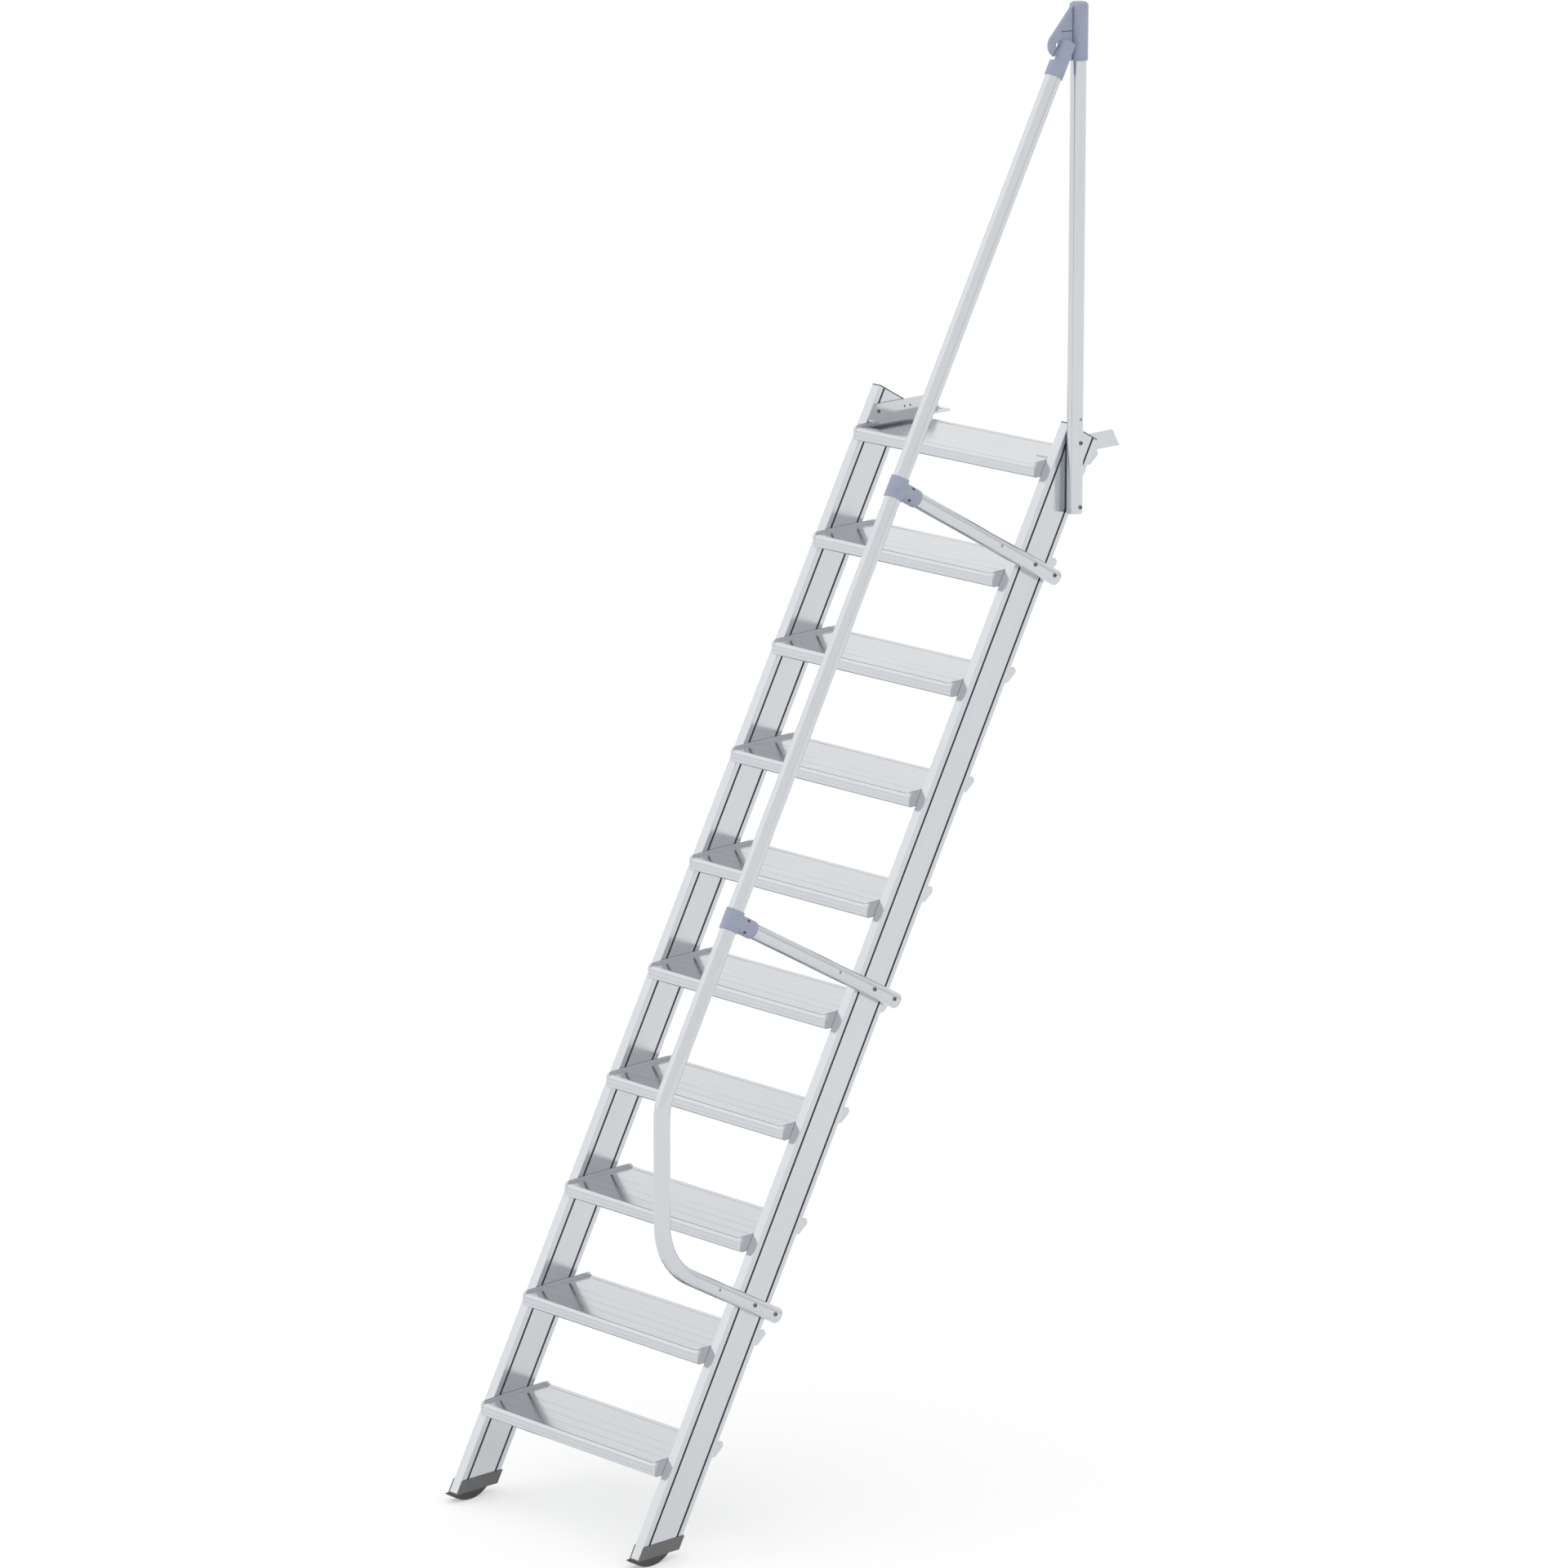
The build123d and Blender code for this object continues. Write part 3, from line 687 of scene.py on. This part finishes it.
class STAIR_OT_clamp_screws(bpy.types.Operator):
    """Pairs of dark screws that close each rail clamp on its strut, on both sides"""

    bl_idname = "stair.clamp_screws"
    bl_label = "Clamp screws"

    def execute(self, context):
        head = context.scene.stair_fasteners.screw_head
        dark = small_part("Black screw", context.scene.stair_finish.pad, roughness=0.4, metallic=0.0)
        places = []
        for along in STRUTS:
            for shift in (-CLAMP_SCREW_SHIFT, CLAMP_SCREW_SHIFT):
                lift = (SOCKET_RADIUS ** 2 - shift ** 2) ** 0.5
                for side in (-1, 1):
                    outward = Vector((side * lift, 0, 0)) + UP_RAKE * shift
                    x = TUBE_AXIS + side * (lift - CLAMP_SCREW_SINK)
                    point = raked_point(x, along + shift, CLAMP_SCREW_AT)
                    places.append(facing(point, outward))
        finish_piece("clamp_screws", repeated(socket_bolt(head, head * 0.3), places), dark)
        return {"FINISHED"}


class STAIR_OT_head_shadow_lines(bpy.types.Operator):
    """Dark lines painted as shadow in the seams and along the edges of the post's cast head"""

    bl_idname = "stair.head_lines"
    bl_label = "Head shadow lines"

    def execute(self, context):
        look = context.scene.stair_finish
        # Dark colour of the painted shadow lines, a share of the casting's colour.
        shade = tuple(value * look.shadow_line_shade for value in look.connector)
        dark = small_part("Painted shadow line", shade, roughness=0.6, metallic=0.0, bump=0.00005)
        work = bmesh.new()
        for start, end in HEAD_SHADOW_LINES:
            line = painted_shadow_line(start, end)
            stamp(work, line)
            line.free()
        finish_piece("head_lines", work, dark)
        return {"FINISHED"}


class STAIR_OT_bracket_screws(bpy.types.Operator):
    """Screws and rivets that hold the landing brackets to the stiles"""

    bl_idname = "stair.bracket_screws"
    bl_label = "Bracket screws"

    def execute(self, context):
        head = context.scene.stair_fasteners.screw_head
        steel = small_part("Bracket steel", context.scene.stair_finish.bolt, roughness=0.35)
        screws = []
        rivets = []
        for side in (-1, 1):
            x = side * (INNER_FACE - BRACKET_THICKNESS + RIVET_SINK)
            inward = (-side, 0, 0)
            screws += [facing(stair_point(x, y, BRACKET_SCREW_HEIGHT), inward) for y in BRACKET_SCREWS]
            rivets += [facing(stair_point(x, y, BRACKET_RIVET_HEIGHT), inward) for y in BRACKET_RIVETS]
        work = repeated(socket_bolt(head * 1.2, head * 0.4), screws)
        riveted = repeated(rivet(head * 0.8), rivets)
        stamp(work, riveted)
        riveted.free()
        finish_piece("bracket_screws", work, steel)
        return {"FINISHED"}


class STAIR_OT_tread_flanges(bpy.types.Operator):
    """Raised rims of the treads' end plates, against the stiles' inner faces"""

    bl_idname = "stair.tread_flanges"
    bl_label = "Tread flanges"

    def execute(self, context):
        look = context.scene.stair_finish
        plain = finished("Flange aluminium", bpy.data.node_groups["Drawn grain"], look.aluminium,
                         look.aluminium_roughness, 1.0, (pi / 2, 0.0, 0.0), extra={"Line": 0.4})
        left = on_treads(FLANGE_INSET - INNER_FACE)
        right = on_treads(INNER_FACE - FLANGE_INSET - FLANGE_THICKNESS)
        places = [place for pair in zip(left, right) for place in pair]
        finish_piece("tread_flanges", repeated(flange(), places), plain)
        return {"FINISHED"}


class STAIR_OT_tread_decks(bpy.types.Operator):
    """Finely grooved top sheets between the lips of the treads"""

    bl_idname = "stair.tread_decks"
    bl_label = "Tread decks"

    def execute(self, context):
        look = context.scene.stair_finish
        plain = finished("Deck aluminium", bpy.data.node_groups["Drawn grain"], look.aluminium,
                         look.aluminium_roughness, 1.0, (0.0, pi / 2, 0.0), extra={"Line": 0.6})
        finish_piece("tread_decks", repeated(deck(), on_treads(0.0)), plain, crease=3)
        return {"FINISHED"}


class STAIR_OT_stage(bpy.types.Operator):
    """Pale floor, white surroundings, one soft key light and the camera"""

    bl_idname = "stair.stage"
    bl_label = "Studio"

    def execute(self, context):
        scene = context.scene
        stage = scene.stair_stage
        self.floor(stage)
        self.surroundings(scene, stage)
        self.lamp(scene, stage)
        self.camera(scene, stage)
        scene.view_settings.view_transform = "Standard"
        return {"FINISHED"}

    def seen(self, tree):
        """One for camera, glossy and transmission rays, zero for the rest."""
        path = add(tree, "ShaderNodeLightPath")
        first = math(tree, "MAXIMUM", path.outputs["Is Camera Ray"], path.outputs["Is Glossy Ray"])
        return math(tree, "MAXIMUM", first, path.outputs["Is Transmission Ray"])

    def floor(self, stage):
        """Large pale floor at the pads' lowest point."""
        work = bmesh.new()
        bmesh.ops.create_grid(work, x_segments=1, y_segments=1, size=stage.floor_size / 2,
                              matrix=Matrix.Translation((0, 0, GROUND)))
        mesh = bpy.data.meshes.new("floor")
        work.to_mesh(mesh)
        work.free()
        material = bpy.data.materials.new("Pale floor")
        material.use_nodes = True
        tree = material.node_tree
        shader = tree.nodes["Principled BSDF"]
        shader.inputs["Base Color"].default_value = (*stage.floor_colour, 1.0)
        shader.inputs["Roughness"].default_value = 0.95
        shader.inputs["Specular IOR Level"].default_value = 0.0
        shader.inputs["Emission Color"].default_value = (1.0, 1.0, 1.0, 1.0)
        lift = math(tree, "MULTIPLY", self.seen(tree), stage.floor_lift)
        tree.links.new(lift, shader.inputs["Emission Strength"])
        mesh.materials.append(material)
        floor = bpy.data.objects.new("floor", mesh)
        bpy.context.scene.collection.objects.link(floor)

    def surroundings(self, scene, stage):
        """White for the eye and in reflections, which dims toward one side, and a plain level as light."""
        world = bpy.data.worlds.new("White studio")
        scene.world = world
        world.use_nodes = True
        tree = world.node_tree
        background = tree.nodes["Background"]
        background.inputs["Color"].default_value = (1.0, 1.0, 1.0, 1.0)
        lift = math(tree, "MULTIPLY", self.seen(tree), 1.0 - stage.world_level)
        toward = add(tree, "ShaderNodeVectorMath", operation="DOT_PRODUCT")
        toward.inputs[1].default_value = Vector(DIM_TOWARD).normalized()
        tree.links.new(add(tree, "ShaderNodeTexCoord").outputs["Generated"], toward.inputs[0])
        dim = spread(tree, toward.outputs["Value"], DIM_STARTS, DIM_FULL, 0.0, stage.dim_side)
        mirrored = math(tree, "MULTIPLY", add(tree, "ShaderNodeLightPath").outputs["Is Glossy Ray"], dim)
        level = math(tree, "ADD", lift, stage.world_level)
        tree.links.new(math(tree, "SUBTRACT", level, mirrored), background.inputs["Strength"])

    def lamp(self, scene, stage):
        """A broad soft light from the front left, above eye height."""
        lamp = bpy.data.lights.new("key", "SUN")
        lamp.energy = stage.key_level
        lamp.angle = radians(KEY_SPREAD)
        lamp.color = KEY_COLOUR
        key = bpy.data.objects.new("key", lamp)
        scene.collection.objects.link(key)
        key.rotation_euler = facing((0, 0, 0), KEY_FROM).to_euler()

    def camera(self, scene, stage):
        """The photograph's angle."""
        data = bpy.data.cameras.new("camera")
        data.lens = stage.lens
        data.sensor_width = CAMERA_SENSOR
        data.clip_end = CAMERA_REACH
        camera = bpy.data.objects.new("camera", data)
        scene.collection.objects.link(camera)
        camera.location = CAMERA_PLACE
        camera.rotation_euler = (radians(90.0 - CAMERA_TILT), 0.0, radians(CAMERA_TURN))
        scene.camera = camera


class STAIR_PT_panel(bpy.types.Panel):
    """Lists the stair's operators and values"""

    bl_idname = "STAIR_PT_panel"
    bl_label = "Stair"
    bl_space_type = "VIEW_3D"
    bl_region_type = "UI"
    bl_category = "Stair"

    def draw(self, context):
        layout = self.layout
        scene = context.scene
        for step in STEPS:
            layout.operator(step.bl_idname)
        for settings in (scene.stair_finish, scene.stair_fasteners, scene.stair_stage):
            box = layout.box()
            for name in type(settings).__annotations__:
                box.prop(settings, name)


STEPS = (STAIR_OT_finishes, STAIR_OT_tread_decks, STAIR_OT_tread_flanges, STAIR_OT_tube_bolts,
         STAIR_OT_tube_rivets, STAIR_OT_stile_nuts, STAIR_OT_clamp_screws, STAIR_OT_head_shadow_lines,
         STAIR_OT_bracket_screws, STAIR_OT_stage)
CLASSES = (StairFinish, StairFasteners, StairStage, *STEPS, STAIR_PT_panel)


def register():
    for entry in CLASSES:
        bpy.utils.register_class(entry)
    bpy.types.Scene.stair_finish = bpy.props.PointerProperty(type=StairFinish)
    bpy.types.Scene.stair_fasteners = bpy.props.PointerProperty(type=StairFasteners)
    bpy.types.Scene.stair_stage = bpy.props.PointerProperty(type=StairStage)


def unregister():
    del bpy.types.Scene.stair_stage
    del bpy.types.Scene.stair_fasteners
    del bpy.types.Scene.stair_finish
    for entry in reversed(CLASSES):
        bpy.utils.unregister_class(entry)


def main():
    register()
    bpy.ops.stair.finishes()
    bpy.ops.stair.tread_decks()
    bpy.ops.stair.tread_flanges()
    bpy.ops.stair.tube_bolts()
    bpy.ops.stair.tube_rivets()
    bpy.ops.stair.stile_nuts()
    bpy.ops.stair.clamp_screws()
    bpy.ops.stair.head_lines()
    bpy.ops.stair.bracket_screws()
    bpy.ops.stair.stage()


if __name__ == "__main__":
    main()
